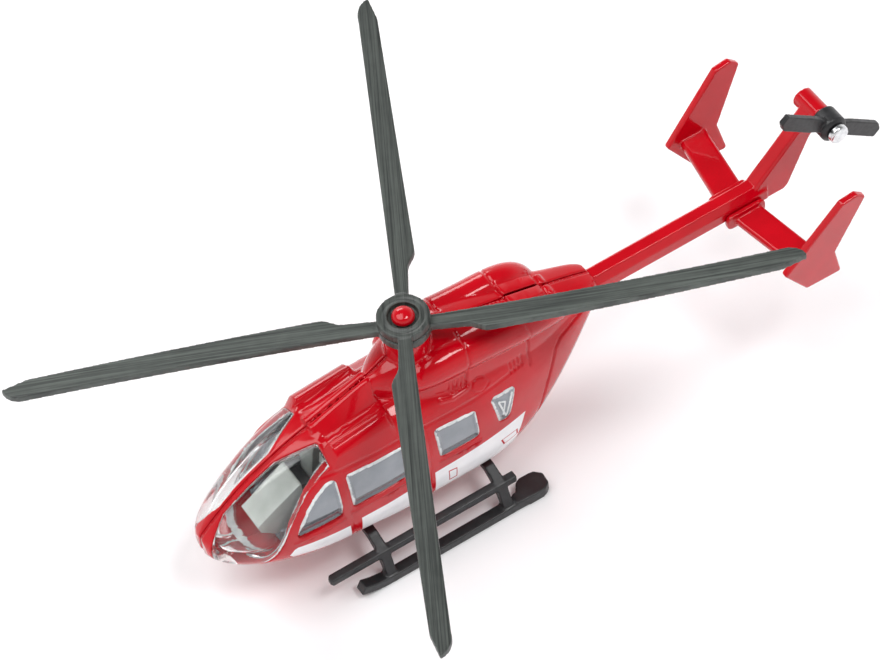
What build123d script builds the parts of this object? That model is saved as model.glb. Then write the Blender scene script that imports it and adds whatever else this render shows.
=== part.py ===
from build123d import *
import os
from math import copysign, cos, pi, sin

# A die-cast toy rescue helicopter, in millimetres.
# +X points to the nose, +Y to port and +Z up; the skids stand on z = 0.
# Every x below is measured from the rotor axis. place() moves the finished
# pieces forward, so that the origin is under the middle of the bounding box.

ROTOR_X = 15.0            # rotor axis, ahead of the origin

# Casting and fits
WALL = 1.2                # wall of the two body halves
GLASS_LIP = 0.9           # thickness of the clear liner behind the wall
FIT = 0.1                 # assembly gap between pieces that do not move
RUN = 0.05                # radial running gap on a pin

# Fuselage sections: x, half width, height of the widest point, top, bottom, squareness
FUSELAGE = [
    (41.0, 1.8, 15.2, 16.9, 13.4, 2.0),
    (40.0, 3.7, 15.2, 18.1, 12.4, 2.0),
    (38.0, 5.5, 15.0, 19.9, 11.2, 2.1),
    (35.0, 7.0, 14.8, 22.3, 9.9, 2.2),
    (31.0, 8.2, 14.7, 24.9, 8.6, 2.4),
    (26.0, 9.1, 14.6, 27.4, 7.5, 2.7),
    (20.0, 9.5, 14.6, 29.7, 6.7, 3.0),
    (12.0, 9.7, 14.6, 30.7, 6.2, 3.2),
    (0.0, 9.7, 14.8, 31.0, 6.0, 3.3),
    (-9.0, 9.6, 15.0, 31.0, 6.1, 3.2),
    (-15.0, 8.9, 16.5, 31.0, 7.2, 2.9),
    (-20.0, 7.9, 18.8, 30.9, 10.2, 2.6),
    (-25.0, 6.5, 21.8, 30.6, 14.8, 2.4),
    (-30.0, 4.7, 25.2, 30.0, 20.4, 2.3),
    (-34.0, 2.9, 27.1, 29.3, 24.2, 2.2),
]
SECTION_STEPS = 10
CENTRE_X, CENTRE_Z = 3.5, 18.5     # middle of the fuselage, kept fixed by insets
HALF_LENGTH, HALF_WIDTH, HALF_HEIGHT = 37.5, 9.7, 12.5
CABIN_REAR, CABIN_FRONT = -17.0, 42.0

# Cowling sections on the cabin roof: x, half width, top
COWLING = [
    (8.6, 1.6, 34.2),
    (6.0, 4.0, 35.2),
    (3.0, 5.6, 36.6),
    (-2.0, 6.9, 37.4),
    (-9.0, 7.2, 36.7),
    (-17.0, 6.9, 34.9),
    (-23.0, 5.9, 33.2),
    (-29.0, 4.4, 31.4),
    (-34.0, 2.7, 29.6),
]
COWLING_BASE = 27.0
# Engine lobes beside the rotor mast: x, radius, height of the lobe's centre
LOBES = [
    (3.5, 1.2, 33.0),
    (0.5, 2.6, 33.7),
    (-4.0, 3.1, 33.8),
    (-17.0, 3.1, 32.9),
    (-22.0, 2.8, 32.3),
    (-26.0, 1.3, 30.0),
]
LOBE_Y = 4.4
SPINE = [(19.4, 1.2, 30.7, 2.8), (8.3, 1.3, 34.4, 3.9)]   # x, top half width, top, base half width
RAIL_X, RAIL_Y, RAIL_Z, RAIL_R = (8.0, 18.2), 5.0, 30.1, 0.9

# Window outlines on the cabin side, x and z, each turned at its corners
FRONT_WINDOW = [(19.8, 16.3), (28.2, 15.6), (25.4, 21.4), (21.3, 25.0), (19.8, 25.2)]
LONG_WINDOW = [(4.4, 17.3), (17.8, 17.0), (17.9, 25.0), (4.4, 24.7)]
REAR_WINDOW = [(-5.9, 17.6), (1.4, 17.5), (1.7, 24.6), (-5.8, 24.1)]
QUARTER_WINDOW = [(-11.8, 17.5), (-10.0, 17.8), (-9.0, 24.3), (-13.8, 23.9)]
WINDOWS = [FRONT_WINDOW, LONG_WINDOW, REAR_WINDOW, QUARTER_WINDOW]
WINDOW_CORNER = 0.7
PANE_INNER = (5.9, 7.0, 7.0, 7.0)            # how far in each pane reaches, from front to rear
LINER_STRIP = (-11.0, 21.5, 19.3, 22.3)      # x and z range of the strip that joins the panes

# Cabin fittings
TUB_Z = (10.0, 14.4, 0.8)                    # floor underside, rim, floor thickness
DECK_Z = 10.85                               # where the fittings stand, just over the floor

# Windscreen: its edge seen from the side, and the post seen from above
SCREEN_EDGE = [(19.7, 27.2), (24.7, 24.0), (28.6, 19.0), (31.4, 14.0), (34.0, 11.7), (38.0, 10.8)]
POST = [(18.0, 3.9), (19.7, 3.4), (26.4, 0.95), (36.5, 0.75), (39.4, 2.0), (42.5, 3.6)]

# Rotor mast
BOSS_R, BOSS_TOP = 3.9, 40.2
PIN_R, PIN_HEAD_R, PIN_HEAD_Z, PIN_TOP = 1.2, 1.9, 43.5, 44.3
PIN_FLARE_R, PIN_FLARE_Z, PIN_END = 1.7, 33.8, 33.0
PIN_POCKET_R, PIN_POCKET_TOP = 2.4, 34.1

# Main rotor: two two-bladed pieces, one on top of the other
RING_R = 4.3
LOWER_RING, LOWER_BLADE = (40.5, 42.1), (40.6, 42.0)
UPPER_RING, UPPER_BLADE = (42.4, 44.0), (42.4, 43.8)
LOWER_ANGLE, UPPER_ANGLE = 333.9, 61.8
PIN_RECESS_R, PIN_RECESS_Z = 2.5, 43.2
BLADE_R = 64.0

# Tail
BOOM = (-67.0, -34.2)              # x range of the straight boom
BOOM_HALF, BOOM_TOP_HALF = 2.0, 1.0
BOOM_Z = (24.4, 28.7)
BOOM_FACET = 0.95
SPIGOT_X, SPIGOT_R = -28.5, 1.4
TAIL_AXIS = (-78.9, 39.2)          # x and z of the tail rotor's axis
HOUSING_R, HOUSING_Y = 1.9, (-3.0, 2.3)
TAIL_HUB_R, TAIL_HUB_Y = 2.45, (2.6, 6.2)
TAIL_BLADE_Y, TAIL_BLADE_THICK, TAIL_CHORD, TAIL_R = 4.7, 1.0, 2.8, 12.3
TAIL_BLADE_ANGLE = 37.8
RIVET_R, RIVET_HEAD_R, RIVET_HEAD_Y = 0.7, 1.5, (6.5, 7.4)
FIN_THICK = 3.0
STAB_Z, STAB_THICK, STAB_TIP_Y = 25.2, 1.6, 16.4
COLLAR = (-67.3, -59.7)
PEG_R, PEG_X, PEG_DEPTH = 0.8, -63.6, 1.4
END_PLATE_THICK, END_PLATE_LEAN = 1.3, 4.0

# Landing gear
SKID_Y, SKID_W, SKID_H = 14.0, 2.0, 1.8
SKID_REAR, SKID_FLAT_END, SKID_BEND_R, SKID_CURL = -10.0, 15.3, 13.0, 26.0
FOOT_TOP = 2.2
STEP_Y, STEP_Z, STEP_SIZE, STEP_X = 12.2, 5.6, 1.5, (-10.2, 25.5)
STRUT_X, STRUT_W = (15.3, -7.3), 1.8
BAR_Z, BAR_H, BAR_Y = 6.9, 1.4, 7.6
SCREW_Y, SCREW_R, SCREW_HEAD_R, SCREW_LONG = 4.2, 0.6, 1.1, 2.6
BODY_SCREWS = [(-20.5, 22.0), (-10.5, 32.6)]    # x and z of the cross screws


def place(shape):
    """Move a piece from rotor coordinates to the object's own frame."""
    return Pos(ROTOR_X, 0, 0) * shape


def block(x0, x1, y0, y1, z0, z1):
    """An upright box between two corners."""
    box = Box(x1 - x0, y1 - y0, z1 - z0)
    return Pos((x0 + x1) / 2, (y0 + y1) / 2, (z0 + z1) / 2) * box


def upright(radius, z0, z1, x=0.0, y=0.0):
    """A vertical cylinder."""
    return Pos(x, y, (z0 + z1) / 2) * Cylinder(radius, z1 - z0)


def across(radius, y0, y1, x, z):
    """A cylinder along Y."""
    return Pos(x, (y0 + y1) / 2, z) * Rot(90, 0, 0) * Cylinder(radius, y1 - y0)


def side_prism(points, y0, y1, corner=0.0, grow=0.0):
    """An outline of x and z points, drawn out along Y."""
    outline = make_face(Polyline(*points, close=True))
    if grow:
        outline = offset(outline, amount=grow, kind=Kind.INTERSECTION)
    if corner:
        outline = fillet(outline.vertices(), corner)
    profile = Plane.XZ.offset(-y0) * outline
    return extrude(profile, amount=-(y1 - y0))


def plan_prism(points, z0, z1):
    """An outline of x and y points, drawn upwards."""
    outline = make_face(Polyline(*points, close=True))
    return Pos(0, 0, z0) * extrude(outline, amount=z1 - z0)


def power(value, squareness):
    """One coordinate of a superellipse."""
    return copysign(abs(value) ** (2 / squareness), value)


def fuselage_section(x, half_width, wide_z, top, bottom, squareness):
    """A closed cross-section: squarer below the widest point than above it."""
    def side(sign):
        points = []
        for step in range(SECTION_STEPS + 1):
            angle = pi * (step / SECTION_STEPS - 0.5)
            shape = squareness if angle > 0 else squareness + 0.6
            height = top - wide_z if angle > 0 else wide_z - bottom
            y = sign * half_width * power(cos(angle), shape)
            points.append((x, y if 0 < step < SECTION_STEPS else 0, wide_z + height * power(sin(angle), shape)))
        return Spline(*points, tangents=((0, sign, 0), (0, -sign, 0)))
    return make_face([side(1), side(-1)])


def fuselage_solid():
    return loft([fuselage_section(*row) for row in FUSELAGE])


def inset(solid, depth):
    """The fuselage made smaller all round, about its middle."""
    fx, fy, fz = [1 - depth / half for half in (HALF_LENGTH, HALF_WIDTH, HALF_HEIGHT)]
    return Pos(CENTRE_X * (1 - fx), 0, CENTRE_Z * (1 - fz)) * scale(solid, by=(fx, fy, fz))


def cowling_section(x, half_width, top):
    rise = top - COWLING_BASE
    crown = Spline((x, half_width, COWLING_BASE), (x, half_width * 0.97, COWLING_BASE + rise * 0.45),
                   (x, half_width * 0.78, COWLING_BASE + rise * 0.83), (x, half_width * 0.4, top - rise * 0.03),
                   (x, 0, top), (x, -half_width * 0.4, top - rise * 0.03),
                   (x, -half_width * 0.78, COWLING_BASE + rise * 0.83),
                   (x, -half_width * 0.97, COWLING_BASE + rise * 0.45), (x, -half_width, COWLING_BASE))
    return make_face([crown, Line((x, -half_width, COWLING_BASE), (x, half_width, COWLING_BASE))])


def cowling_lobe(side):
    discs = [Plane((x, side * LOBE_Y, z), z_dir=(-1, 0, 0)) * Circle(r) for x, r, z in LOBES]
    return loft(discs)


def roof_spine():
    """The ridge from the windscreen to the rotor mast."""
    sections = []
    for x, top_half, top, base_half in SPINE:
        base = 29.0
        corners = [(x, -base_half, base), (x, base_half, base), (x, top_half, top), (x, -top_half, top)]
        sections.append(make_face(Polyline(*corners, close=True)))
    return loft(sections, ruled=True)


def roof_rail(side):
    x0, x1 = RAIL_X
    bar = Pos((x0 + x1) / 2, side * RAIL_Y, RAIL_Z) * Rot(0, 90, 0) * Cylinder(RAIL_R, x1 - x0)
    return bar


def screen_region(grow=0.0):
    """Everything ahead of the windscreen's edge, as a prism across the nose."""
    start, end = SCREEN_EDGE[0], SCREEN_EDGE[-1]
    rest = Polyline(end, (46, end[1]), (46, 36), (start[0], 36), start)
    outline = make_face([Spline(*SCREEN_EDGE), *rest.edges()])
    region = extrude(Plane.XZ.offset(14) * outline, amount=-28)
    return Pos(-0.8 * grow, 0, -0.8 * grow) * region


def post_region(grow=0.0):
    """The red post, its wedge at the roof and its foot at the nose."""
    port = [(x, y + grow) for x, y in POST]
    starboard = [(x, -y) for x, y in reversed(port)]
    return plan_prism(port + starboard, 5, 40)


def screen_opening(grow=0.0):
    return screen_region(grow) - post_region(-grow)


def window_cuts():
    return [side_prism(window, 5.0, 13.0, WINDOW_CORNER) for window in WINDOWS]


def spigot(gap=0.0):
    """The boom's root, which the two body halves clamp."""
    middle = (BOOM_Z[0] + BOOM_Z[1]) / 2
    length = SPIGOT_X - BOOM[1]
    rod = Pos((SPIGOT_X + BOOM[1]) / 2, 0, middle) * Rot(0, 90, 0) * Cylinder(SPIGOT_R + gap, length)
    stop = Pos(SPIGOT_X - 0.8, 0, middle) * Rot(0, 90, 0) * Cylinder(SPIGOT_R + 0.6 + gap, 1.6 + 2 * gap)
    return rod + stop


def gear_channels():
    cuts = []
    for x in STRUT_X:
        half = STRUT_W / 2 + FIT
        cuts.append(block(x - half, x + half, -12, 12, 4, BAR_Z + BAR_H / 2 + FIT))
    return cuts


def gear_bosses():
    """Posts inside the belly that the landing gear is screwed to."""
    return [upright(1.7, 6.8, TUB_Z[0] - FIT, x, SCREW_Y) for x in STRUT_X]


def screw_pilots():
    return [upright(SCREW_R + 0.02, 5, BAR_Z + SCREW_LONG - 0.4, x, SCREW_Y) for x in STRUT_X]


def screw_bores(head):
    """Holes for the cross screws in a port half: blind ones, or through ones with a sunk head."""
    bores = []
    for x, z in BODY_SCREWS:
        if head:
            bores.append(across(SCREW_R + 0.02, -1, 12, x, z))
            bores.append(across(SCREW_HEAD_R + FIT, 3.0, 14, x, z))
        else:
            bores.append(across(SCREW_R + 0.02, -1, 3.6, x, z))
    return bores


def body_solid(outer):
    """The whole outer form with its cowling, mast boss and hollow cabin."""
    cowling = loft([cowling_section(*row) for row in COWLING])
    form = outer + cowling + roof_spine() + upright(BOSS_R, 31, BOSS_TOP)
    for side in (1, -1):
        form = form + cowling_lobe(side) + roof_rail(side)
    cabin = inset(outer, WALL) & block(CABIN_REAR, CABIN_FRONT, -12, 12, 0, 40)
    form = form - cabin
    form = form - upright(PIN_R + 0.02, 30, 45) - upright(PIN_POCKET_R, 28, PIN_POCKET_TOP)
    return form - spigot(0.03)


def port_shell(form, outer):
    """The port half with its openings, before the cross screws' holes."""
    half = form & block(-36, 44, 0, 14, 0, 45)
    lining = inset(outer, WALL * 0.5)
    for post in gear_bosses():
        half = half + (post & lining)
    half = half - screen_opening()
    for cut in window_cuts() + gear_channels() + screw_pilots():
        half = half - cut
    return half


def body_halves(form, outer):
    """The two halves, alike but for the screws, which go in from starboard."""
    halves = []
    shell = port_shell(form, outer)
    for head in (False, True):
        half = shell
        for bore in screw_bores(head):
            half = half - bore
        halves.append(biggest(half))
    return halves[0], mirror(halves[1], about=Plane.XZ)


def biggest(shape):
    """The one solid of a piece, without any sliver that a cut left loose."""
    return max(shape.solids(), key=lambda solid: solid.volume)


def windscreen(outer):
    """A clear canopy: two panes that fill the openings, joined behind the post."""
    inner = inset(outer, WALL + GLASS_LIP)
    panes = (inset(outer, 0.04) & screen_opening(-FIT)) - inner
    flange = (inset(outer, WALL + FIT) & screen_region(0.7)) - inner
    canopy = panes + flange
    return biggest(canopy & block(18.0, 44, -12, 12, 9, 36))


def side_windows(outer, side):
    """One moulding with four panes and the strip that joins them."""
    skin = inset(outer, 0.04)
    moulding = block(*LINER_STRIP[:2], *sorted((side * 7.0, side * 7.9)), *LINER_STRIP[2:])
    front = block(21.0, 24.0, *sorted((side * 5.9, side * 7.9)), *LINER_STRIP[2:])
    moulding = moulding + (front & inset(outer, WALL + FIT))
    for window, inner in zip(WINDOWS, PANE_INNER):
        y0, y1 = sorted((side * inner, side * 12.0))
        pane = side_prism(window, y0, y1, WINDOW_CORNER - FIT, -FIT)
        moulding = moulding + (pane & skin)
    return biggest(moulding)


def mirrored_plan(points, z0, z1):
    """A plan outline given for the port side, closed across the centre line."""
    starboard = [(x, -y) for x, y in reversed(points)]
    return plan_prism(points + starboard, z0, z1)


def interior_tub():
    """Floor, low side walls and the bulkhead behind the seats."""
    floor_z, rim_z, thick = TUB_Z
    plan = [(-13.0, 6.6), (25.0, 6.3), (29.0, 5.0)]
    hollow = [(-12.2, 5.8), (24.7, 5.6), (30.0, 3.9)]
    tub = mirrored_plan(plan, floor_z, rim_z) - mirrored_plan(hollow, floor_z + thick, rim_z + 1)
    return tub + block(8.4, 9.4, -6.4, 6.4, floor_z, 24.0)


def dashboard():
    """The instrument console, a wedge with a sloping top."""
    outline = [(25.0, 19.5), (32.0, 15.3), (31.5, 13.4), (29.0, DECK_Z), (26.0, DECK_Z), (25.0, 14.0)]
    return side_prism(outline, -2.7, 2.7, 0.3)


def front_seats():
    """Two seat cushions joined by a low rail."""
    seats = block(20.6, 21.8, -2.0, 2.0, DECK_Z, DECK_Z + 1.0)
    for y in (3.2, -3.2):
        outline = [(19.6, DECK_Z), (24.2, DECK_Z), (24.6, 13.4), (24.2, 14.2), (19.6, 13.6)]
        seats = seats + side_prism(outline, y - 2.1, y + 2.1, 0.3)
    return seats


def seat_backs():
    """Two raked seat backs on a common foot."""
    backs = block(17.4, 19.4, -5.2, 5.2, DECK_Z, DECK_Z + 1.2)
    for y in (3.1, -3.1):
        outline = [(18.2, DECK_Z), (19.4, DECK_Z), (19.4, 16.0), (18.5, 23.6), (17.6, 23.9), (17.5, 16.0)]
        backs = backs + side_prism(outline, y - 2.1, y + 2.1, 0.3)
    return backs


def boom_section(x):
    """An eight-sided section with a narrow flat top."""
    z0, z1 = BOOM_Z
    half, top = BOOM_HALF, BOOM_TOP_HALF
    port = [(top, z0), (half, z0 + BOOM_FACET), (half, z1 - BOOM_FACET * 1.4), (top, z1)]
    ring = port + [(-y, z) for y, z in reversed(port)]
    return make_face(Polyline(*[(x, y, z) for y, z in ring], close=True))


def tail_boom():
    """Boom, fin and tail rotor housing in one casting."""
    boom = loft([boom_section(BOOM[0] - 1.5), boom_section(BOOM[1])], ruled=True)
    ax, az = TAIL_AXIS
    fin = side_prism([(-62.5, 24.4), (-72.2, 24.4), (-73.2, 25.3), (-77.4, 34.4), (ax - 1.2, az - 1.2),
                      (ax + 1.3, az + 1.3), (-73.3, 35.7), (-66.4, 28.7)], -FIN_THICK / 2, FIN_THICK / 2)
    fin = chamfer([e for e in fin.edges() if abs(e.tangent_at(0.5).Y) < 0.1], 0.45)
    casting = boom + fin + across(HOUSING_R, *HOUSING_Y, ax, az) + spigot()
    casting = casting - across(RIVET_R + 0.02, -2.2, 4, ax, az)
    for side in (1, -1):
        y0, y1 = sorted((side * (BOOM_HALF - PEG_DEPTH), side * 3))
        casting = casting - across(PEG_R + 0.03, y0, y1, PEG_X, STAB_Z + 0.6)
    return biggest(casting)


def tailplane(side):
    """Half of the tailplane, with its root collar, peg and end plate."""
    root_y, tip_y = BOOM_HALF + FIT, STAB_TIP_Y
    plan = [(-61.0, root_y), (-63.4, tip_y), (-68.6, tip_y), (-66.4, root_y)]
    plate = plan_prism(plan, STAB_Z - STAB_THICK / 2, STAB_Z + STAB_THICK / 2)
    long_edges = [e for e in plate.edges() if abs(e.tangent_at(0.5).Y) > 0.9]
    plate = fillet(long_edges, 0.6)
    x0, x1 = COLLAR
    collar = block(x0, x1, root_y, 2.9, STAB_Z - 1.4, STAB_Z + 1.6)
    collar = fillet(collar.edges().filter_by(Axis.Y), 1.1)
    peg = across(PEG_R, BOOM_HALF - PEG_DEPTH + 0.1, root_y + 0.5, PEG_X, STAB_Z + 0.6)
    outline = [(-60.9, 25.6), (-71.4, 37.6), (-74.4, 38.0), (-76.2, 36.4), (-71.0, 24.9), (-72.6, 18.3),
               (-65.6, 18.6)]
    panel = side_prism(outline, -END_PLATE_THICK / 2, END_PLATE_THICK / 2, 0.5)
    panel = fillet([e for e in panel.edges() if abs(e.tangent_at(0.5).Y) < 0.1], 0.3)
    lean = Pos(0, tip_y + 0.3, STAB_Z) * Rot(-END_PLATE_LEAN, 0, 0) * Pos(0, 0, -STAB_Z) * panel
    half = plate + collar + peg + lean
    if side < 0:
        half = mirror(half, about=Plane.XZ)
    return biggest(half)


def tail_rotor():
    ax, az = TAIL_AXIS
    hub = across(TAIL_HUB_R, *TAIL_HUB_Y, ax, az)
    hub = chamfer(hub.edges().group_by(Axis.Y)[-1], 0.5)
    inner_r = TAIL_HUB_R - 1.0
    plan = [(inner_r, -1.1), (4.6, -TAIL_CHORD / 2), (TAIL_R - 1.2, -TAIL_CHORD / 2), (TAIL_R, -0.3),
            (TAIL_R - 0.3, TAIL_CHORD / 2), (4.2, TAIL_CHORD / 2), (inner_r, 1.1)]
    half = TAIL_BLADE_THICK / 2
    blade = side_prism(plan, TAIL_BLADE_Y - half, TAIL_BLADE_Y + half, 0.3)
    rotor = hub
    for turn in (0, 180):
        rotor = rotor + Pos(ax, 0, az) * Rot(0, -TAIL_BLADE_ANGLE - turn, 0) * blade
    rotor = rotor - across(RIVET_R + RUN, 0, 9, ax, az)
    return biggest(rotor)


def tail_rivet():
    ax, az = TAIL_AXIS
    y0, y1 = RIVET_HEAD_Y
    head = across(RIVET_HEAD_R, y0, y1, ax, az)
    head = fillet(head.edges().group_by(Axis.Y)[-1], 0.35)
    return biggest(head + across(RIVET_R, -2.0, y0 + 0.1, ax, az))


def blade_plan():
    """One blade: straight on one side, cut in to a narrow neck on the other."""
    edges = [
        Line((3.4, 1.0), (60.0, 3.1)),
        ThreePointArc((60.0, 3.1), (62.7, 2.6), (BLADE_R, 1.2)),
        Line((BLADE_R, 1.2), (59.8, -0.1)),
        Line((59.8, -0.1), (13.0, -2.7)),
        Spline((13.0, -2.7), (11.3, -2.0), (9.5, -1.4), tangents=((-1, 0.15, 0), (-1, 0.06, 0))),
        Line((9.5, -1.4), (3.4, -1.1)),
        Line((3.4, -1.1), (3.4, 1.0)),
    ]
    return make_face(edges)


def main_rotor(ring, blade, angle):
    """A ring on the pin with a pair of opposite blades."""
    rotor = upright(RING_R, *ring)
    paddle = Pos(0, 0, blade[0]) * extrude(blade_plan(), amount=blade[1] - blade[0])
    for turn in (0, 180):
        rotor = rotor + Rot(0, 0, angle + turn) * paddle
    return rotor - upright(PIN_R + RUN, 38, 46)


def main_rotor_lower():
    return biggest(main_rotor(LOWER_RING, LOWER_BLADE, LOWER_ANGLE))


def main_rotor_upper():
    rotor = main_rotor(UPPER_RING, UPPER_BLADE, UPPER_ANGLE)
    return biggest(rotor - upright(PIN_RECESS_R, PIN_RECESS_Z, 46))


def rotor_pin():
    head = upright(PIN_HEAD_R, PIN_HEAD_Z, PIN_TOP)
    head = fillet(head.edges().group_by(Axis.Z)[-1], 0.6)
    shank = upright(PIN_R, PIN_END, PIN_HEAD_Z + 0.1)
    flare = upright(PIN_FLARE_R, PIN_END, PIN_FLARE_Z)
    return biggest(head + shank + flare)


def skid(y):
    """A flat-soled runner that curls up at the front."""
    z = SKID_H / 2
    start, end = SKID_REAR, SKID_FLAT_END
    base = block(start, end, y - SKID_W / 2, y + SKID_W / 2, 0, SKID_H)
    axis = Axis((end, y, z + SKID_BEND_R), (0, -1, 0))
    curl = revolve(Plane.YZ.offset(end) * Pos(y, z) * Rectangle(SKID_W, SKID_H), axis, SKID_CURL)
    return base + curl


def paddle(y):
    """The broad foot at the rear of a runner."""
    side = 1 if y > 0 else -1
    plan = [(-8.6, 13.0), (-9.6, 12.9), (-10.7, 11.3), (-11.6, 10.9), (-14.2, 11.0), (-15.4, 12.2),
            (-15.3, 14.3), (-14.2, 15.1), (-12.4, 15.2), (-8.6, 15.0)]
    foot = plan_prism([(x, side * v) for x, v in plan], 0, FOOT_TOP)
    return fillet(foot.edges().filter_by(Axis.Z), 0.45)


def strut(x, side):
    """From the belly out to the step rail, then down to the skid."""
    half = STRUT_W / 2
    top, low = BAR_Z + BAR_H / 2, BAR_Z - BAR_H / 2
    outline = [(7.0, low), (7.0, top), (9.3, top), (STEP_Y + 0.7, STEP_Z + 0.7), (SKID_Y + 0.8, 1.2),
               (SKID_Y - 0.8, 1.2), (STEP_Y - 0.8, STEP_Z - 1.0), (8.6, low)]
    shape = make_face(Polyline(*[(x - half, side * y, z) for y, z in outline], close=True))
    return extrude(shape, amount=STRUT_W, dir=(1, 0, 0))


def landing_gear():
    """One black moulding: cross bars, struts, step rails and skids."""
    gear = None
    for side in (1, -1):
        y = side * STEP_Y
        half = STEP_SIZE / 2
        rail = block(*STEP_X, y - half, y + half, STEP_Z - half, STEP_Z + half)
        rail = chamfer(rail.edges().group_by(Axis.X)[-1], 0.35)
        part = skid(side * SKID_Y) + paddle(side * SKID_Y) + rail
        for x in STRUT_X:
            part = part + strut(x, side)
        gear = part if gear is None else gear + part
    for x in STRUT_X:
        half = STRUT_W / 2
        gear = gear + block(x - half, x + half, -BAR_Y, BAR_Y, BAR_Z - BAR_H / 2, BAR_Z + BAR_H / 2)
        for side in (1, -1):
            gear = gear - upright(SCREW_R + 0.05, 5, 9, x, side * SCREW_Y)
            gear = gear - upright(SCREW_HEAD_R, 5, BAR_Z - 0.2, x, side * SCREW_Y)
    return biggest(gear)


def gear_screws():
    """Four small screws that hold the landing gear from below."""
    screws = []
    for x in STRUT_X:
        for side in (1, -1):
            y = side * SCREW_Y
            head = upright(0.85, BAR_Z - 0.65, BAR_Z - 0.2, x, y)
            screws.append(biggest(head + upright(SCREW_R, BAR_Z - 0.3, BAR_Z + SCREW_LONG - 0.6, x, y)))
    return Compound(screws)


def body_screws():
    """Two cross screws that pull the halves together from starboard."""
    screws = []
    for x, z in BODY_SCREWS:
        head = across(SCREW_HEAD_R, -4.2, -3.0, x, z)
        head = head - block(x - 0.15, x + 0.15, -4.3, -3.9, z - 0.9, z + 0.9)
        screws.append(biggest(head + across(SCREW_R, -3.1, 3.4, x, z)))
    return Compound(screws)


def main():
    outer = fuselage_solid()
    port, starboard = body_halves(body_solid(outer), outer)
    pieces = {
        "body_left": port,
        "body_right": starboard,
        "windscreen": windscreen(outer),
        "side_windows_left": side_windows(outer, 1),
        "side_windows_right": side_windows(outer, -1),
        "interior_tub": biggest(interior_tub()),
        "dashboard": biggest(dashboard()),
        "front_seats": biggest(front_seats()),
        "seat_backs": biggest(seat_backs()),
        "tail_boom": tail_boom(),
        "tailplane_left": tailplane(1),
        "tailplane_right": tailplane(-1),
        "landing_gear": landing_gear(),
        "gear_screws": gear_screws(),
        "body_screws": body_screws(),
        "rotor_pin": rotor_pin(),
        "main_rotor_lower": main_rotor_lower(),
        "main_rotor_upper": main_rotor_upper(),
        "tail_rotor": tail_rotor(),
        "tail_rivet": tail_rivet(),
    }
    os.makedirs("parts", exist_ok=True)
    for name, piece in pieces.items():
        export_step(place(piece), f"parts/{name}.step")


main()
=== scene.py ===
import bpy
import bmesh
import math
import numpy as np
from mathutils import Euler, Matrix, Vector


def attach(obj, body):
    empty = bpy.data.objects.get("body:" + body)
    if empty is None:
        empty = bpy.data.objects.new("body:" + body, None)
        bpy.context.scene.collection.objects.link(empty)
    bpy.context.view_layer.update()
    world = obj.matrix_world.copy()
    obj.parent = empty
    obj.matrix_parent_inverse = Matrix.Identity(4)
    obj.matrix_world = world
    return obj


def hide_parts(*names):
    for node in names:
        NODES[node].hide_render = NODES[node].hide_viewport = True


# Toy rescue helicopter. The scene is in metres, +X nose, +Y port, +Z up, skids on z = 0.
# The sculpting code works in millimetres from the rotor axis.
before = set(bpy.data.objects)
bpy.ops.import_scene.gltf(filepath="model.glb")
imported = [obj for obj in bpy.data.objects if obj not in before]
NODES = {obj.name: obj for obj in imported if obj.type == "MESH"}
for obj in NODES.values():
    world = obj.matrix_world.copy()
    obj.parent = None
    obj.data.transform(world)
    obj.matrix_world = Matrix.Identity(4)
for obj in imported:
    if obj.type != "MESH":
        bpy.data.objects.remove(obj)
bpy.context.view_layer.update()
MM = 0.001
ROTOR_X = 15.0                                       # the rotor axis, in the object's frame
LOWER_ANGLE, UPPER_ANGLE = 333.9, 61.8               # of the two blade pairs, in degrees
LOWER_LIFT, UPPER_LIFT = (-1.7, 2.3), (2.5, 4.0)     # how far each blade's tip is bent up

# ---------------------------------------------------------------- camera, light, floor
CAMERA_PLACE = (0.15961, 0.29941, 0.47776)
CAMERA_TURN = (36.934, 4.329, 147.505)               # degrees, XYZ
LENS, SENSOR = 142.7, 36.0
LIGHT_AIM = (0, 0, 0.02)
HORIZON, ZENITH = 0.95, 0.16                         # brightness of the studio
FADE_FROM, FADE_TO = 0.15, 0.8                       # sine of the elevation where it changes
FLOOR_HALF = 3.0


def link(name, data):
    """A new object in the scene's collection."""
    obj = bpy.data.objects.new(name, data)
    bpy.context.scene.collection.objects.link(obj)
    return obj


def add_camera():
    data = bpy.data.cameras.new("camera")
    data.lens, data.sensor_width = LENS, SENSOR
    data.clip_start, data.clip_end = 0.01, 20
    camera = link("camera", data)
    camera.location = CAMERA_PLACE
    camera.rotation_euler = Euler([math.radians(a) for a in CAMERA_TURN])
    bpy.context.scene.camera = camera


def add_area_light(name, place, size, watts):
    data = bpy.data.lights.new(name, "AREA")
    data.shape, data.size, data.size_y = "RECTANGLE", size[0], size[1]
    data.energy = watts
    light = link(name, data)
    light.location = place
    aim = Vector(LIGHT_AIM) - Vector(place)
    light.rotation_euler = aim.to_track_quat("-Z", "Y").to_euler()


def add_world():
    """A white studio that is brighter at the horizon than overhead."""
    world = bpy.data.worlds.new("studio")
    world.use_nodes = True
    tree = world.node_tree
    place = tree.nodes.new("ShaderNodeTexCoord")
    split = tree.nodes.new("ShaderNodeSeparateXYZ")
    fade = tree.nodes.new("ShaderNodeMapRange")
    fade.interpolation_type = "SMOOTHSTEP"
    fade.inputs["From Min"].default_value = FADE_FROM
    fade.inputs["From Max"].default_value = FADE_TO
    fade.inputs["To Min"].default_value = HORIZON
    fade.inputs["To Max"].default_value = ZENITH
    tree.links.new(place.outputs["Generated"], split.inputs[0])
    tree.links.new(split.outputs["Z"], fade.inputs["Value"])
    background = tree.nodes["Background"]
    background.inputs["Color"].default_value = (1, 1, 1, 1)
    tree.links.new(fade.outputs["Result"], background.inputs["Strength"])
    bpy.context.scene.world = world


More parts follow.
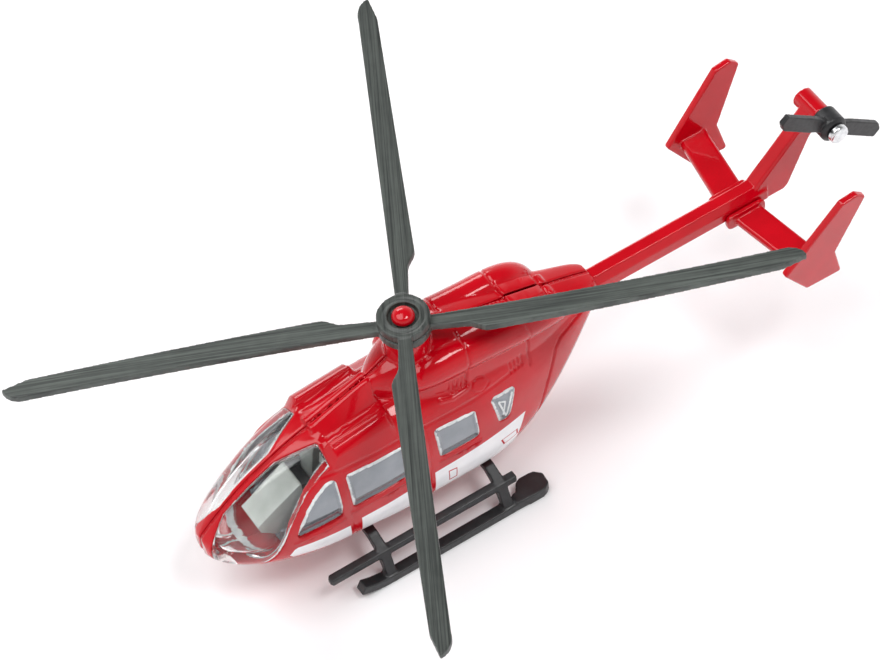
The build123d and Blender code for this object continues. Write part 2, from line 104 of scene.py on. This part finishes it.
def add_floor():
    mesh = bpy.data.meshes.new("floor")
    bm = bmesh.new()
    bmesh.ops.create_grid(bm, x_segments=1, y_segments=1, size=FLOOR_HALF)
    bm.to_mesh(mesh)
    bm.free()
    material = bpy.data.materials.new("floor_white")
    material.use_nodes = True
    shader = material.node_tree.nodes["Principled BSDF"]
    shader.inputs["Base Color"].default_value = (0.93, 0.92, 0.93, 1)
    shader.inputs["Roughness"].default_value = 0.6
    mesh.materials.append(material)
    link("floor", mesh)


# ---------------------------------------------------------------- materials
NOISE_LOW, NOISE_HIGH = 0.3, 0.7                     # most of a noise lies between these


class Graph:
    """A material, with short ways to add and link its shader nodes."""

    def __init__(self, name):
        self.material = bpy.data.materials.new(name)
        self.material.use_nodes = True
        self.tree = self.material.node_tree
        self.shader = self.tree.nodes["Principled BSDF"]
        self.place = self.add("ShaderNodeTexCoord").outputs["Object"]

    def add(self, kind, **settings):
        node = self.tree.nodes.new(kind)
        for key, value in settings.items():
            setattr(node, key, value)
        return node

    def link(self, source, target):
        self.tree.links.new(source, target)

    def set(self, **values):
        """Constants of the shader; an underscore stands for a space."""
        for key, value in values.items():
            self.shader.inputs[key.replace("_", " ")].default_value = value

    def split(self):
        """The x, y and z of a point, in metres."""
        node = self.add("ShaderNodeSeparateXYZ")
        self.link(self.place, node.inputs[0])
        return node.outputs

    def noise(self, source, scale, detail, roughness=0.5):
        node = self.add("ShaderNodeTexNoise")
        node.inputs["Scale"].default_value = scale
        node.inputs["Detail"].default_value = detail
        node.inputs["Roughness"].default_value = roughness
        self.link(source, node.inputs["Vector"])
        return node.outputs["Fac"]

    def grain(self, scale, detail):
        """Even noise all over the piece."""
        return self.noise(self.place, scale, detail)

    def streaks(self, turn, stretch, detail, roughness):
        """Noise that is turned about Z and then stretched along the axes."""
        turned = self.add("ShaderNodeMapping")
        turned.inputs["Rotation"].default_value = (0, 0, turn)
        squeezed = self.add("ShaderNodeMapping")
        squeezed.inputs["Scale"].default_value = stretch
        self.link(self.place, turned.inputs["Vector"])
        self.link(turned.outputs["Vector"], squeezed.inputs["Vector"])
        return self.noise(squeezed.outputs["Vector"], 1.0, detail, roughness)

    def tone(self, value, dark, light, spread=0.2):
        """A colour between two, which changes over a spread each side of the middle value."""
        node = self.add("ShaderNodeValToRGB")
        stops = ((0.5 - spread, dark), (0.5 + spread, light))
        for element, (at, colour) in zip(node.color_ramp.elements, stops):
            element.position = at
            element.color = (*colour, 1)
        self.link(value, node.inputs["Fac"])
        return node.outputs["Color"]

    def math(self, operation, a, b=None, clamp=False):
        node = self.add("ShaderNodeMath", operation=operation, use_clamp=clamp)
        for socket, value in zip(node.inputs, (a, b)):
            if isinstance(value, (int, float)):
                socket.default_value = value
            elif value is not None:
                self.link(value, socket)
        return node.outputs[0]

    def remap(self, value, low, high, to_low, to_high):
        node = self.add("ShaderNodeMapRange")
        node.inputs["From Min"].default_value = low
        node.inputs["From Max"].default_value = high
        node.inputs["To Min"].default_value = to_low
        node.inputs["To Max"].default_value = to_high
        self.link(value, node.inputs["Value"])
        return node.outputs["Result"]

    def mix(self, factor, a, b):
        """Colour a where the factor is 0 and colour b where it is 1."""
        node = self.add("ShaderNodeMix", data_type="RGBA")
        self.link(factor, node.inputs["Factor"])
        for name, value in (("A", a), ("B", b)):
            socket = [s for s in node.inputs if s.name == name and s.type == "RGBA"][0]
            if isinstance(value, tuple):
                socket.default_value = (*value, 1)
            else:
                self.link(value, socket)
        return [s for s in node.outputs if s.type == "RGBA"][0]

    def colour(self, source):
        self.link(source, self.shader.inputs["Base Color"])

    def roughness(self, value, low, high):
        """A roughness that drifts between two values with a noise."""
        drift = self.remap(value, NOISE_LOW, NOISE_HIGH, low, high)
        self.link(drift, self.shader.inputs["Roughness"])

    def bump(self, height, strength, distance):
        node = self.add("ShaderNodeBump")
        node.inputs["Strength"].default_value = strength
        node.inputs["Distance"].default_value = distance
        self.link(height, node.inputs["Height"])
        self.link(node.outputs["Normal"], self.shader.inputs["Normal"])


RED_DARK, RED_LIGHT = (0.46, 0.0002, 0.006), (0.54, 0.0004, 0.008)
WHITE_DARK, WHITE_LIGHT = (0.80, 0.79, 0.82), (0.88, 0.87, 0.89)
BLADE_DARK, BLADE_LIGHT = (0.018, 0.022, 0.020), (0.070, 0.082, 0.073)

# The printed white side stripes, as convex outlines of x and z points
STRIPES = [
    [(29.75, 12.3), (28.9, 13.5), (28.3, 13.8), (19.0, 13.0), (18.8, 9.3), (29.2, 11.4)],
    [(16.8, 13.4), (5.0, 13.6), (4.2, 7.9), (16.9, 9.5)],
    [(2.8, 14.4), (-15.2, 16.0), (-12.3, 8.3), (3.0, 8.8)],
]
# Small frames inside the stripes, drawn in the body's red
STRIPE_FRAMES = [
    [(0.4, 13.0), (-1.2, 12.8), (-1.1, 10.2), (0.4, 10.1)],
    [(-9.8, 12.9), (-13.3, 13.0), (-13.4, 11.5), (-10.3, 11.2)],
]
FRAME_INNER = 0.8                                    # a frame's inner outline against its outer one
STRIPE_Y = (7.2, 7.4)                                # the print fades in between these


def outline_mask(g, x, z, corners, soft=0.05):
    """1 inside a convex outline of x and z points, 0 outside it, with a soft edge."""
    points = [((px + ROTOR_X) * MM, pz * MM) for px, pz in corners]
    soft *= MM
    area = sum(a[0] * b[1] - b[0] * a[1] for a, b in zip(points, points[1:] + points[:1]))
    if area > 0:
        points.reverse()
    inside = None
    for (x0, z0), (x1, z1) in zip(points, points[1:] + points[:1]):
        length = math.hypot(x1 - x0, z1 - z0)
        nx, nz = (z1 - z0) / length, (x0 - x1) / length
        reach = g.math("ADD", g.math("MULTIPLY", x, nx), g.math("MULTIPLY", z, nz))
        edge = nx * x0 + nz * z0
        side = g.remap(reach, edge - soft, edge + soft, 0, 1)
        inside = side if inside is None else g.math("MINIMUM", inside, side)
    return inside


def stripe_mask(g):
    """1 on the white print of the side stripes, 0 elsewhere."""
    x, y, z = g.split()
    mask = None
    for corners in STRIPES:
        stripe = outline_mask(g, x, z, corners)
        mask = stripe if mask is None else g.math("MAXIMUM", mask, stripe)
    for corners in STRIPE_FRAMES:
        middle = np.mean(corners, axis=0)
        inner = [tuple(middle + (np.array(p) - middle) * FRAME_INNER) for p in corners]
        outer_mask, inner_mask = outline_mask(g, x, z, corners), outline_mask(g, x, z, inner)
        ring = g.math("SUBTRACT", outer_mask, inner_mask, clamp=True)
        mask = g.math("MULTIPLY", mask, g.math("SUBTRACT", 1.0, ring))
    near, far = STRIPE_Y
    flank = g.remap(g.math("ABSOLUTE", y), near * MM, far * MM, 0, 1)
    return g.math("MULTIPLY", mask, flank)


def enamel(name, bump, striped=False):
    """Glossy red enamel, with the white side stripes or without them."""
    g = Graph(name)
    colour = g.tone(g.grain(180, 3), RED_DARK, RED_LIGHT)
    if striped:
        white = g.tone(g.grain(260, 3), WHITE_DARK, WHITE_LIGHT)
        colour = g.mix(stripe_mask(g), colour, white)
    g.colour(colour)
    g.roughness(g.grain(900, 3), 0.13, 0.21)
    g.bump(g.grain(420, 2), bump, 0.1 * MM)
    g.set(Specular_IOR_Level=0.12, Coat_Weight=0.8, Coat_Roughness=0.05, Coat_IOR=1.42)
    return g.material


def blade_plastic(name, angle, light):
    """Dark grey plastic with fine moulding streaks along the blades."""
    g = Graph(name)
    streak = g.streaks(-math.radians(angle), (45, 3400, 400), 4, 0.6)
    mottle = g.grain(500, 3)
    mixed = g.math("ADD", g.math("MULTIPLY", streak, 0.9), g.math("MULTIPLY", mottle, 0.1))
    # The factor light makes lighter and darker copies of the one blade plastic: painted light and
    # painted shade on the two blade pairs.
    dark, bright = [tuple(light * c for c in tone) for tone in (BLADE_DARK, BLADE_LIGHT)]
    g.colour(g.tone(mixed, dark, bright, 0.12))
    g.roughness(streak, 0.34, 0.50)
    g.bump(streak, 0.25, 0.06 * MM)
    g.set(Specular_IOR_Level=0.55)
    return g.material


def black_plastic():
    g = Graph("black_plastic")
    g.colour(g.tone(g.grain(700, 4), (0.008, 0.008, 0.009), (0.018, 0.018, 0.020)))
    g.roughness(g.grain(1500, 3), 0.30, 0.48)
    g.bump(g.grain(1200, 4), 0.30, 0.06 * MM)
    return g.material


def rim_painted_highlight():
    """A painted highlight on the edges of the clear mouldings, where light gathers."""
    g = Graph("rim_painted_highlight")
    g.colour(g.tone(g.grain(600, 3), (0.70, 0.72, 0.73), (0.90, 0.92, 0.93), 0.15))
    g.roughness(g.grain(900, 3), 0.10, 0.22)
    g.set(Transmission_Weight=0.15, IOR=1.45)
    g.bump(g.grain(500, 2), 0.15, 0.1 * MM)
    return g.material


def clear_plastic():
    """Thin clear plastic; its low index keeps the view through it straight."""
    g = Graph("clear_plastic")
    g.set(Base_Color=(0.98, 0.99, 0.99, 1), Transmission_Weight=1.0, IOR=1.10)
    g.set(Coat_Weight=1.0, Coat_Roughness=0.03, Coat_IOR=1.5)
    g.roughness(g.grain(300, 3), 0.01, 0.05)
    g.bump(g.grain(160, 2), 0.05, 0.1 * MM)
    return g.material


BAND_TOP, BAND_FADE, BAND_SHARE = 19.2, 0.2, 0.72    # the painted shade band at the foot of the panes


def window_plastic():
    """Smoky clear plastic with a band of painted shade along the foot of the panes."""
    g = Graph("window_plastic")
    tone = g.tone(g.grain(300, 3), (0.30, 0.33, 0.37), (0.38, 0.41, 0.45))
    # Painted shade: below BAND_TOP the colour is mixed towards near black.
    painted_shade_band = g.remap(g.split()["Z"], BAND_TOP * MM, (BAND_TOP - BAND_FADE) * MM, 0, BAND_SHARE)
    g.colour(g.mix(painted_shade_band, tone, (0.09, 0.10, 0.115)))
    g.roughness(g.grain(900, 3), 0.08, 0.16)
    g.set(Transmission_Weight=0.3, IOR=1.49, Coat_Weight=0.6, Coat_Roughness=0.05)
    g.bump(g.grain(700, 2), 0.06, 0.1 * MM)
    return g.material


def grey_plastic(name, dark, light):
    g = Graph(name)
    g.colour(g.tone(g.grain(350, 4), dark, light))
    g.roughness(g.grain(1200, 3), 0.39, 0.53)
    g.bump(g.grain(1600, 3), 0.2, 0.05 * MM)
    return g.material


def bright_steel():
    g = Graph("bright_steel")
    g.colour(g.tone(g.grain(1500, 3), (0.62, 0.63, 0.65), (0.82, 0.83, 0.84)))
    g.roughness(g.grain(2600, 3), 0.16, 0.32)
    g.set(Metallic=1.0)
    g.bump(g.grain(2200, 3), 0.15, 0.04 * MM)
    return g.material


# ---------------------------------------------------------------- sculpting
def fall(distance, width):
    """A soft profile: 1 on a line, 0 from its width outwards."""
    return np.clip(1 - (distance / width) ** 2, 0, 1) ** 2


def rise(value, start, end):
    """0 at the start and before it, 1 at the end and beyond it, straight between them."""
    return np.clip((value - start) / (end - start), 0, 1)


def line_distance(points, line):
    """Distance of 2-D points from a polyline."""
    best = np.full(len(points), np.inf)
    for a, b in zip(line[:-1], line[1:]):
        a, b = np.array(a, float), np.array(b, float)
        share = np.clip((points - a) @ (b - a) / ((b - a) @ (b - a)), 0, 1)
        nearest = a + share[:, None] * (b - a)
        best = np.minimum(best, np.linalg.norm(points - nearest, axis=1))
    return best


class Sculpt:
    """A node's form, meshed evenly, smoothed and then shaped point by point."""

    def __init__(self, node, name, voxel, passes):
        self.node, self.name = node, name
        source = link(name + "_source", NODES[node].data.copy())
        remesh = ("REMESH", dict(mode="VOXEL", voxel_size=voxel * MM))
        smooth = ("SMOOTH", dict(factor=0.5, iterations=passes))
        self.mesh = self.run(source, [remesh, smooth])
        flat = np.empty(len(self.mesh.vertices) * 3)
        self.mesh.vertices.foreach_get("co", flat)
        self.points = flat.reshape(-1, 3) / MM - (ROTOR_X, 0, 0)
        self.refresh()

    def run(self, obj, modifiers):
        """The mesh that the modifiers make of an object, which is then removed."""
        for kind, settings in modifiers:
            modifier = obj.modifiers.new(kind, kind)
            for key, value in settings.items():
                setattr(modifier, key, value)
        depsgraph = bpy.context.evaluated_depsgraph_get()
        result = bpy.data.meshes.new_from_object(obj.evaluated_get(depsgraph))
        old = obj.data
        bpy.data.objects.remove(obj)
        bpy.data.meshes.remove(old)
        return result

    def refresh(self):
        """Write the points back and take the new normals."""
        flat = ((self.points + (ROTOR_X, 0, 0)) * MM).ravel()
        self.mesh.vertices.foreach_set("co", flat)
        self.mesh.update()
        normals = np.empty(len(flat))
        self.mesh.vertex_normals.foreach_get("vector", normals)
        self.normals = normals.reshape(-1, 3)
        self.x, self.y, self.z = self.points.T
        self.nx, self.ny, self.nz = self.normals.T

    def press(self, amount):
        """Move each point along its normal."""
        self.points += self.normals * amount[:, None]

    def side_distance(self, line):
        """Distance from a line of x and z points, seen from the side."""
        return line_distance(self.points[:, (0, 2)], line)

    def mark(self, marks, where):
        """Press a set of grooves or ridges into the flanks."""
        width, depth, lines = marks
        for line in lines:
            self.press(-depth * fall(self.side_distance(line), width) * where)

    def rim(self, near):
        """Remember which points lie on an edge that gets the painted highlight material."""
        attribute = self.mesh.attributes.new("rim", "FLOAT", "POINT")
        attribute.data.foreach_set("value", near.astype(np.float32))

    def use_rim(self, mesh):
        """Give the rim's triangles the second material, the painted highlight."""
        attribute = mesh.attributes["rim"]
        near = np.empty(len(mesh.vertices), np.float32)
        attribute.data.foreach_get("value", near)
        corners = np.empty(len(mesh.polygons) * 3, np.int32)
        mesh.polygons.foreach_get("vertices", corners)
        index = (near[corners].reshape(-1, 3).mean(axis=1) > 0.5).astype(np.int32)
        mesh.polygons.foreach_set("material_index", index)
        mesh.attributes.remove(attribute)

    def finish(self, material, faces, body, rim_material=None):
        """Bring the mesh down to a number of triangles and hand it over as a piece."""
        self.refresh()
        ratio = faces / (2 * len(self.mesh.polygons))
        steps = [("TRIANGULATE", {})]
        if ratio < 1:
            steps.append(("DECIMATE", dict(ratio=ratio)))
        mesh = self.run(link(self.name + "_full", self.mesh), steps)
        mesh.materials.clear()
        mesh.materials.append(material)
        if rim_material:
            mesh.materials.append(rim_material)
            self.use_rim(mesh)
        mesh.shade_smooth()
        obj = link(self.name, mesh)
        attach(obj, body)
        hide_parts(self.node)


# ---------------------------------------------------------------- body halves
# Grooves, or ridges where the depth is below zero: width, depth, and lines of x and z points
COWL_SEAMS = (0.35, 0.22, [
    [(-7.6, 38.0), (-6.9, 34.5), (-5.9, 28.8)],
    [(-17.6, 38.0), (-18.3, 32.5), (-17.6, 25.3)],
])
CLAM_SEAM = (0.45, 0.30, [
    [(-33.0, 27.4), (-28.5, 26.8), (-24.4, 25.9), (-22.9, 24.6), (-21.6, 21.5), (-20.1, 17.9),
     (-18.6, 13.5), (-16.8, 9.0), (-15.6, 6.5)],
])
CREASE = (0.50, 0.16, [[(21.5, 26.4), (8.0, 26.2), (-6.0, 26.2), (-16.0, 26.6)]])
SILLS = (0.35, -0.14, [
    [(18.4, 16.1), (4.0, 16.4)],
    [(1.6, 16.6), (-6.2, 16.7)],
    [(28.6, 14.9), (19.6, 15.5)],
])
DOOR_SEAMS = (0.28, 0.12, [
    [(18.35, 26.0), (18.3, 16.0), (17.9, 8.0)],
    [(3.1, 26.0), (3.3, 16.0), (3.6, 7.6)],
])
FILLER_CAP = (0.30, 0.16, [
    [(-9.6, 27.4), (-9.2, 28.5), (-8.2, 29.0), (-7.0, 28.8), (-6.3, 27.9), (-6.8, 27.0),
     (-8.2, 26.6), (-9.6, 27.4)],
])
DOOR_RAIL = (0.50, -0.30, [[(-0.9, 28.6), (-3.0, 28.2), (-5.6, 28.4)]])
FRONT_SLITS = (0.28, 0.20, [[(x, 28.9), (x - 0.25, 31.2)] for x in (-3.0, -3.7, -4.4, -5.1, -5.8)])
REAR_SLITS = (0.28, 0.18, [[(x, 26.4), (x - 0.2, 28.2)] for x in (-13.8, -14.6, -15.4, -16.2)])
SEAM_WIDTH, SEAM_DEPTH = 0.42, 0.38                  # of the seam between the halves
COWL_FOOT, DOOR_TOP = 25.2, 26.2                     # heights that end the seams there
NOSE_X, WAIST_Z = 38.0, 15.0                         # where the body turns to its nose and belly

# The roof from front to rear, as x and z points, and the y of the lines between its parts
SPINE_TOP = [(8.0, 34.5), (19.4, 30.5)]
VALLEY = [(8.0, 31.1), (19.4, 29.6)]
SHOULDER = [(8.0, 31.3), (19.4, 30.1)]
SHOULDER_FOOT = 26.3
SPINE_Y, VALLEY_Y, STEP_Y, SHOULDER_Y = 1.1, 3.3, 4.75, 5.05
HULL_TOP = [(5.0, 31.0), (20.0, 29.7)]
HULL_HALF, HULL_WAIST, HULL_SQUARE = 9.6, 14.6, 3.1  # half width, height of it, squareness


def height_at(x, line):
    """The height of a line of x and z points."""
    return np.interp(x, *zip(*line))


def shape_roof(s):
    """Cut the two valleys beside the spine, and raise the shoulders' sharp inner edges."""
    y = np.abs(s.y)
    upward = np.clip(s.z - HULL_WAIST, 0, None) / (height_at(s.x, HULL_TOP) - HULL_WAIST)
    hull = (y / HULL_HALF) ** HULL_SQUARE + upward ** HULL_SQUARE
    outer = (hull > 0.86) & (s.nz > -0.3) & (s.z > 24)
    spine, valley, shoulder = (height_at(s.x, line) for line in (SPINE_TOP, VALLEY, SHOULDER))
    slope = spine + (valley - spine) * (y - SPINE_Y) / (VALLEY_Y - SPINE_Y)
    height = np.where(y < SPINE_Y, spine, np.where(y < VALLEY_Y, slope, valley))
    step = valley + (shoulder - valley) * rise(y, STEP_Y, SHOULDER_Y)
    height = np.where(y > STEP_Y, step, height)
    turn = 1 - np.sqrt(1 - 0.96 * rise(y, 5.0, 8.5) ** 2)
    rounded = shoulder - (shoulder - SHOULDER_FOOT) * turn / 0.8
    height = np.where(y > SHOULDER_Y, rounded, height)
    ends = rise(s.x, 7.6, 8.5) * rise(s.x, 19.5, 18.3) * rise(y, 8.2, 7.4)
    s.points[:, 2] += np.where(outer, (height - s.z) * ends, 0)
    s.refresh()


# Where the front window's edge is drawn outwards to a curve: middle of the edge, and direction
BULGES = [((26.8, 18.5), (0.90, 0.43)), ((23.35, 23.2), (0.66, 0.75))]
BULGE_HEIGHT, BULGE_SPREAD = 0.5, 1.5


def round_window(s):
    """Round the front window, in the wall and in its pane alike."""
    flank = np.abs(s.y) > 5.0
    for (mx, mz), (dx, dz) in BULGES:
        away = (s.x - mx) ** 2 + (s.z - mz) ** 2
        pull = BULGE_HEIGHT * np.exp(-away / (2 * BULGE_SPREAD ** 2)) * flank
        s.points += np.stack([pull * dx, 0 * pull, pull * dz], 1)


# Raised blocks on the deck behind the mast: the x and z of the front edge and of the rear edge
DECK_BLOCKS = [((-17.9, 35.5), (-24.7, 33.5)), ((-25.1, 32.9), (-26.4, 32.4))]
DECK_HALF, DECK_EDGE = 2.5, 0.3


def shape_deck(s):
    """Raise the two stepped blocks between the engine lobes."""
    top = (s.nz > 0.2) & (s.z > 30.5)
    y = np.abs(s.y)
    for (front, front_z), (rear, rear_z) in DECK_BLOCKS:
        height = np.interp(s.x, (rear, front), (rear_z, front_z))
        inside = rise(s.x, front, front - DECK_EDGE) * rise(s.x, rear, rear + DECK_EDGE)
        inside *= rise(y, DECK_HALF, DECK_HALF - DECK_EDGE)
        s.points[:, 2] += np.where(top, np.clip(height - s.z, 0, 3) * inside, 0)
    s.refresh()


def body_half(node, name, side):
    """One half of the body; its side is 1 for port and -1 for starboard."""
    s = Sculpt(node, name, 0.2, 3)
    shape_roof(s)
    shape_deck(s)
    upper = (s.nz > 0.3) & (s.z > WAIST_Z)
    lower = (s.nz < -0.3) & (s.z < WAIST_Z)
    nose = (s.nx > 0.4) & (s.x > NOSE_X)
    s.press(-SEAM_DEPTH * fall(np.abs(s.y), SEAM_WIDTH) * (upper | lower | nose))
    outer = (side * s.ny > 0.05) | (s.nz > 0.5) & (s.z > 29)
    flank = outer & (np.abs(s.y) > 2.5)
    s.mark(COWL_SEAMS, flank & (s.z > COWL_FOOT))
    s.mark(CLAM_SEAM, flank & (s.x < -14))
    s.mark(CREASE, flank & (s.nz < 0.8))
    s.mark(SILLS, flank)
    s.mark(DOOR_SEAMS, flank & (s.z < DOOR_TOP))
    s.mark(FILLER_CAP, flank & (s.nz < 0.95))
    s.mark(DOOR_RAIL, flank)
    s.mark(FRONT_SLITS, flank)
    s.mark(REAR_SLITS, flank)
    round_window(s)
    s.finish(BODY_RED, 185000, "airframe")


# ---------------------------------------------------------------- rotors
BLADE_ROOT, BLADE_TIP = 8.0, 64.0                    # the blades bend between these radii
RING_GROOVE, RING_LIP = 3.35, 2.75                   # radii on the hub's rings


def blade_pair(node, name, material, body, angle, lift):
    """A pair of opposite blades, bent a little out of flat."""
    s = Sculpt(node, name, 0.2, 2)
    angle = math.radians(angle)
    reach = s.x * math.cos(angle) + s.y * math.sin(angle)
    bend = rise(np.abs(reach), BLADE_ROOT, BLADE_TIP) ** 2
    s.points[:, 2] += np.where(reach > 0, lift[0], lift[1]) * bend
    radius = np.hypot(s.x, s.y)
    top = s.nz > 0.6
    s.press(-0.16 * fall(np.abs(radius - RING_GROOVE), 0.3) * top)
    s.press(0.12 * fall(np.abs(radius - RING_LIP), 0.35) * top)
    s.finish(material, 60000, body)


PIN_HEAD_RADIUS, PIN_HEAD_FOOT, PIN_DOME = 1.9, 43.9, 0.75


def pin():
    """The red pin's domed head."""
    s = Sculpt("rotor_pin", "pin_dome", 0.08, 3)
    radius = np.hypot(s.x, s.y)
    dome = np.clip(1 - (radius / PIN_HEAD_RADIUS) ** 2, 0, 1)
    s.points[:, 2] += PIN_DOME * dome * (s.z > PIN_HEAD_FOOT)
    s.finish(RED, 20000, "airframe")


RIVET_X, RIVET_Z = -78.9, 39.2
RIVET_HEAD_Y, RIVET_TOP_Y = 6.4, 7.1
RIVET_RADIUS, RIVET_SPREAD, RIVET_DOME = 1.6, 0.16, 0.35


def rivet():
    """The tail rotor's bright rivet, its head spread and domed by the press."""
    s = Sculpt("tail_rivet", "tail_rivet_head", 0.06, 3)
    radius = np.hypot(s.x - RIVET_X, s.z - RIVET_Z)
    head = s.y > RIVET_HEAD_Y
    s.points[:, 0] += (s.x - RIVET_X) * RIVET_SPREAD * head
    s.points[:, 2] += (s.z - RIVET_Z) * RIVET_SPREAD * head
    dome = np.clip(1 - (radius / RIVET_RADIUS) ** 2, 0, 1)
    s.points[:, 1] += RIVET_DOME * dome * (s.y > RIVET_TOP_Y)
    s.finish(STEEL, 20000, "airframe")


# ---------------------------------------------------------------- canopy, windows, cabin
# The clear canopy's edges: on the flank as x and z points, beside the post as x and y points
SCREEN_EDGE = [(19.7, 27.2), (24.7, 24.0), (28.6, 19.0), (31.4, 14.0), (34.0, 11.7), (38.0, 10.8),
               (40.5, 10.9)]
POST_EDGE = [(18.0, 3.9), (19.7, 3.4), (26.4, 0.95), (36.5, 0.75), (39.4, 2.0), (42.5, 3.6)]
SCREEN_RIM, POST_RIM = 0.46, 0.2                     # how far the painted highlight on the edge reaches
SCREEN_REAR = 18.9


def canopy():
    """The clear canopy, with a painted highlight on its edges."""
    s = Sculpt("windscreen", "canopy", 0.15, 2)
    side = s.side_distance(SCREEN_EDGE)
    post = line_distance(np.stack([s.x, np.abs(s.y)], 1), POST_EDGE)
    outside = (s.ny * np.sign(s.y) > 0.15) | (s.nz > 0.3)
    edge = (side < SCREEN_RIM) | (post < POST_RIM)
    s.rim(edge & outside & (s.x > SCREEN_REAR))
    s.finish(CLEAR, 90000, "airframe", RIM_PAINTED_HIGHLIGHT)


# The side panes' outlines from front to rear, and the cut facets of the last one
PANES = [
    [(19.8, 16.3), (28.2, 15.6), (25.4, 21.4), (21.3, 25.0), (19.8, 25.2)],
    [(4.4, 17.3), (17.8, 17.0), (17.9, 25.0), (4.4, 24.7)],
    [(-5.9, 17.6), (1.4, 17.5), (1.7, 24.6), (-5.8, 24.1)],
    [(-11.8, 17.5), (-10.0, 17.8), (-9.0, 24.3), (-13.8, 23.9)],
]
FACETS = [(-12.9, 23.2), (-11.2, 18.7), (-10.2, 22.9), (-11.4, 22.2), (-10.7, 19.6)]
PANE_BEAD, FACET_RIDGE = 0.25, 0.30                  # heights of the raised lines
BEAD_HALF = 0.35                                     # the bead is flat this far from its line
PANE_RIM, FACET_RIM = 0.26, 0.16                     # how far the painted highlight on the edges reaches
SLOPE_TOP, SLOPE = 19.0, 0.25                        # below this height the panes lean in


def windows(node, name):
    """Panes with rounded edges that carry a painted highlight, and a lower band that slopes in."""
    s = Sculpt(node, name, 0.12, 2)
    near = np.min([s.side_distance(pane + pane[:1]) for pane in PANES], axis=0)
    outside = np.abs(s.y) > 7.6
    s.press(PANE_BEAD * fall(np.clip(near - BEAD_HALF, 0, None), 0.35) * outside)
    facet = s.side_distance(FACETS)
    s.press(FACET_RIDGE * fall(facet, 0.5) * outside)
    lean = np.where(outside & (s.z < SLOPE_TOP), (SLOPE_TOP - s.z) * SLOPE, 0)
    s.points[:, 1] -= np.sign(s.y) * lean
    round_window(s)
    s.rim(((near < PANE_RIM) | (facet < FACET_RIM)) & (np.abs(s.y) > 7.3))
    s.finish(WINDOW, 90000, "airframe", RIM_PAINTED_HIGHLIGHT)


def console():
    """The instrument slab, longer at its upper end than its foot."""
    s = Sculpt("dashboard", "console", 0.15, 2)
    rear = rise(s.x, 29.0, 25.0) * (s.z > 14.4)
    s.points[:, 0] -= 1.9 * rear
    s.points[:, 2] += 1.0 * rear
    s.finish(PALE, 30000, "airframe")


def soft_piece(node, name, material, faces, voxel=0.15, passes=2, body="airframe"):
    """A node whose edges are only softened."""
    Sculpt(node, name, voxel, passes).finish(material, faces, body)


# ---------------------------------------------------------------- scene
bpy.context.scene.view_settings.view_transform = "Standard"
add_camera()
add_world()
add_floor()
add_area_light("key", (1.1, -0.5, 3.0), (2.4, 2.4), 72)
add_area_light("glint", (-0.8, 1.2, 3.0), (1.2, 0.8), 40)
add_area_light("back", (-0.2, -0.9, 0.5), (0.5, 0.3), 2.5)

BODY_RED = enamel("red_paint", 0.10, striped=True)
RED = enamel("red_enamel", 0.12)
BLACK = black_plastic()
CLEAR = clear_plastic()
RIM_PAINTED_HIGHLIGHT = rim_painted_highlight()
WINDOW = window_plastic()
TUB = grey_plastic("interior_grey", (0.18, 0.19, 0.21), (0.26, 0.27, 0.30))
PALE = grey_plastic("pale_plastic", (0.50, 0.54, 0.50), (0.62, 0.66, 0.62))
STEEL = bright_steel()
# The two pairs are one plastic. The lower pair's colour is painted 1.2 times lighter and the upper
# pair's 0.9 times darker, as painted light and shade.
LOWER_PAINTED_LIGHT = blade_plastic("lower_blade_plastic_painted_light", LOWER_ANGLE, 1.2)
UPPER_PAINTED_SHADE = blade_plastic("upper_blade_plastic_painted_shade", UPPER_ANGLE, 0.9)

body_half("body_left", "casting_port", 1)
body_half("body_right", "casting_starboard", -1)
blade_pair("main_rotor_lower", "lower_blades", LOWER_PAINTED_LIGHT, "lower_rotor", LOWER_ANGLE, LOWER_LIFT)
blade_pair("main_rotor_upper", "upper_blades", UPPER_PAINTED_SHADE, "upper_rotor", UPPER_ANGLE, UPPER_LIFT)
pin()
canopy()
windows("side_windows_left", "port_windows")
windows("side_windows_right", "starboard_windows")
soft_piece("tail_boom", "boom_casting", RED, 120000)
soft_piece("tailplane_left", "port_tailplane", RED, 90000)
soft_piece("tailplane_right", "starboard_tailplane", RED, 90000)
soft_piece("landing_gear", "gear_moulding", BLACK, 150000, voxel=0.18, passes=3)
soft_piece("tail_rotor", "tail_blades", BLACK, 60000, voxel=0.12, body="tail_rotor")
rivet()
soft_piece("interior_tub", "cabin_tub", TUB, 60000, voxel=0.2)
console()
soft_piece("front_seats", "seat_cushions", BLACK, 30000)
soft_piece("seat_backs", "seat_rests", PALE, 30000)
soft_piece("gear_screws", "gear_fixings", STEEL, 30000, voxel=0.08)
soft_piece("body_screws", "body_fixings", STEEL, 30000, voxel=0.08)
